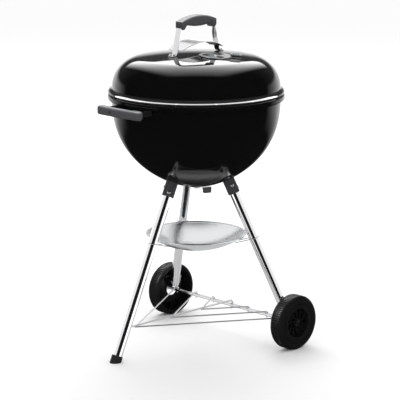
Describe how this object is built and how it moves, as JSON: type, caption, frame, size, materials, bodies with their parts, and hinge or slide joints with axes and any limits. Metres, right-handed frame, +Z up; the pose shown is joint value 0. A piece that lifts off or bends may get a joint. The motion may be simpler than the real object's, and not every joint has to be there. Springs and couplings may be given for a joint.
{
  "type": "kettle charcoal grill",
  "caption": "Free-standing round kettle charcoal grill: domed lid with handle and damper, deep bowl with grates inside, tripod stand with ash dish, wire rack and wheels.",
  "frame": {"origin": "on the floor, under the centre of the outer box; the bowl's axis stands 39.8 mm towards +Y of it", "axes": "+Z up; X along the wheel axle; -Y towards the fixed leg and the bowl handle"},
  "size_m": [0.5384, 0.5696, 0.927],
  "materials": {
    "black_enamel": "gloss",
    "black_bracket": "satin",
    "grey_nylon": "matte",
    "dark_screw": "satin",
    "grey_socket": "satin",
    "bright_fastener": "polished",
    "chrome_tube": "polished",
    "black_cap": "matte",
    "plated_steel": "satin",
    "aluminium": "satin",
    "shield_steel": "satin",
    "wheel_plastic": "satin",
    "grate_steel": "satin",
    "charcoal_grate_steel": "matte"
  },
  "bodies": {
    "stand": {"bowl_shell": "black_enamel", "bowl_handle_bracket": "black_bracket", "cooking_grate_tabs": "black_bracket", "charcoal_grate_tabs": "black_bracket", "bowl_handle_grip": "grey_nylon", "bowl_handle_screw": "dark_screw", "leg_socket_front": "grey_socket", "leg_socket_left": "grey_socket", "leg_socket_right": "grey_socket", "socket_screws": "bright_fastener", "bracket_rivets": "bright_fastener", "axle_caps": "bright_fastener", "front_leg": "chrome_tube", "left_wheel_leg": "chrome_tube", "right_wheel_leg": "chrome_tube", "leg_end_cap": "black_cap", "left_axle_bracket": "plated_steel", "right_axle_bracket": "plated_steel", "axle": "plated_steel", "bottom_rack": "plated_steel", "ash_clip_front": "plated_steel", "ash_clip_left": "plated_steel", "ash_clip_right": "plated_steel", "ash_dish": "aluminium"},
    "left_wheel": {"wheel_left": "wheel_plastic"},
    "right_wheel": {"wheel_right": "wheel_plastic"},
    "vent": {"vent_sweeper": "aluminium", "vent_shaft": "plated_steel", "vent_lever": "aluminium", "vent_lever_tab": "grey_nylon"},
    "lower_grate": {"charcoal_grate": "charcoal_grate_steel"},
    "upper_grate": {"cooking_grate": "grate_steel"},
    "lid": {"lid_shell": "black_enamel", "lid_handle_bracket": "plated_steel", "lid_handle_grip": "grey_nylon", "lid_heat_shield": "shield_steel", "lid_handle_bolts": "bright_fastener", "lid_hanging_hook": "plated_steel", "damper_rivet": "bright_fastener"},
    "damper": {"lid_damper": "aluminium"}
  },
  "joints": [
    {"name": "lid_lift", "type": "slide", "parent": "stand", "child": "lid", "axis": [0, 0, 1], "range_m": [0, 0.35]},
    {"name": "damper_turn", "type": "hinge", "parent": "lid", "child": "damper", "pos_m": [0.075, 0.03976, 0.82098], "axis": [0.0698, 0, 0.9976], "range_deg": [0, 60]},
    {"name": "vent_turn", "type": "hinge", "parent": "stand", "child": "vent", "pos_m": [0, 0.03976, 0.4458], "axis": [0, 0, 1], "range_deg": [-60, 0]},
    {"name": "left_wheel_spin", "type": "hinge", "parent": "stand", "child": "left_wheel", "pos_m": [-0.23598, 0.17601, 0.077], "axis": [1, 0, 0], "continuous": true},
    {"name": "right_wheel_spin", "type": "hinge", "parent": "stand", "child": "right_wheel", "pos_m": [0.23598, 0.17601, 0.077], "axis": [1, 0, 0], "continuous": true},
    {"name": "cooking_grate_lift", "type": "slide", "parent": "stand", "child": "upper_grate", "axis": [0, 0, 1], "range_m": [0, 0.025]},
    {"name": "charcoal_grate_lift", "type": "slide", "parent": "stand", "child": "lower_grate", "axis": [0, 0, 1], "range_m": [0, 0.11]}
  ]
}
